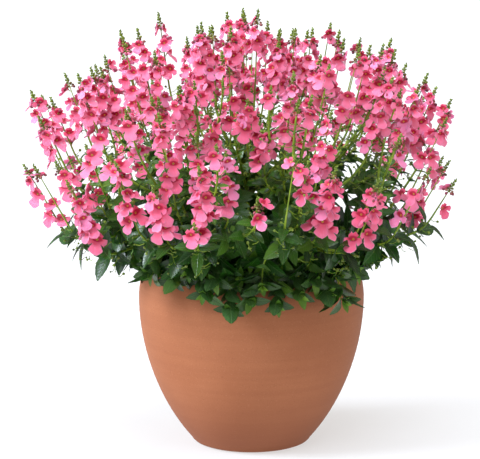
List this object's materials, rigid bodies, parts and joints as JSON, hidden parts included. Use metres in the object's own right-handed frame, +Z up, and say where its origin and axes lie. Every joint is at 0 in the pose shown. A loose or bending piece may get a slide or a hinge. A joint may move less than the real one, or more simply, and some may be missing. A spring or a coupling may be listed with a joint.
{
  "type": "potted twinspur plant",
  "caption": "Bushy flowering pot plant with upright spikes of small pink lipped flowers over dark green leaves, in a plain rounded clay pot.",
  "frame": {"origin": "middle of the pot's flat underside, on the surface that it stands on", "axes": "+Z up along the pot's axis, -Y towards the side that the picture shows, +X to its right"},
  "size_m": [0.4256, 0.4197, 0.4326],
  "materials": {
    "terracotta": "matt unglazed fired clay",
    "compost": "loose dark potting compost",
    "leaf_green": "soft satin leaves and stems",
    "petal_pink": "soft matt petals"
  },
  "bodies": {
    "root": {"pot": "terracotta", "compost": "compost", "stem_1": "leaf_green", "stem_2": "leaf_green", "stem_3": "leaf_green", "stem_4": "leaf_green", "stem_5": "leaf_green", "stem_6": "leaf_green", "stem_7": "leaf_green", "stem_8": "leaf_green", "stem_9": "leaf_green", "stem_10": "leaf_green", "stem_11": "leaf_green", "stem_12": "leaf_green", "stem_13": "leaf_green", "stem_14": "leaf_green", "flowers_1_0": "petal_pink", "flowers_1_1": "petal_pink", "flowers_1_2": "petal_pink", "flowers_1_3": "petal_pink", "flowers_1_4": "petal_pink", "flowers_2_0": "petal_pink", "flowers_2_1": "petal_pink", "flowers_2_2": "petal_pink", "flowers_3_0": "petal_pink", "flowers_3_1": "petal_pink", "flowers_3_2": "petal_pink", "flowers_4_0": "petal_pink", "flowers_4_1": "petal_pink", "flowers_4_2": "petal_pink", "flowers_5_0": "petal_pink", "flowers_5_1": "petal_pink", "flowers_5_2": "petal_pink", "flowers_6_0": "petal_pink", "flowers_6_1": "petal_pink", "flowers_6_2": "petal_pink", "flowers_7_0": "petal_pink", "flowers_7_1": "petal_pink", "flowers_7_2": "petal_pink", "flowers_8_0": "petal_pink", "flowers_8_1": "petal_pink", "flowers_8_2": "petal_pink", "flowers_9_0": "petal_pink", "flowers_9_1": "petal_pink", "flowers_9_2": "petal_pink", "flowers_10_0": "petal_pink", "flowers_10_1": "petal_pink", "flowers_10_2": "petal_pink", "flowers_11_0": "petal_pink", "flowers_11_1": "petal_pink", "flowers_11_2": "petal_pink", "flowers_12_0": "petal_pink", "flowers_12_1": "petal_pink", "flowers_12_2": "petal_pink", "flowers_13_0": "petal_pink", "flowers_13_1": "petal_pink", "flowers_13_2": "petal_pink", "flowers_14_0": "petal_pink", "flowers_14_1": "petal_pink", "flowers_14_2": "petal_pink"}
  },
  "joints": []
}
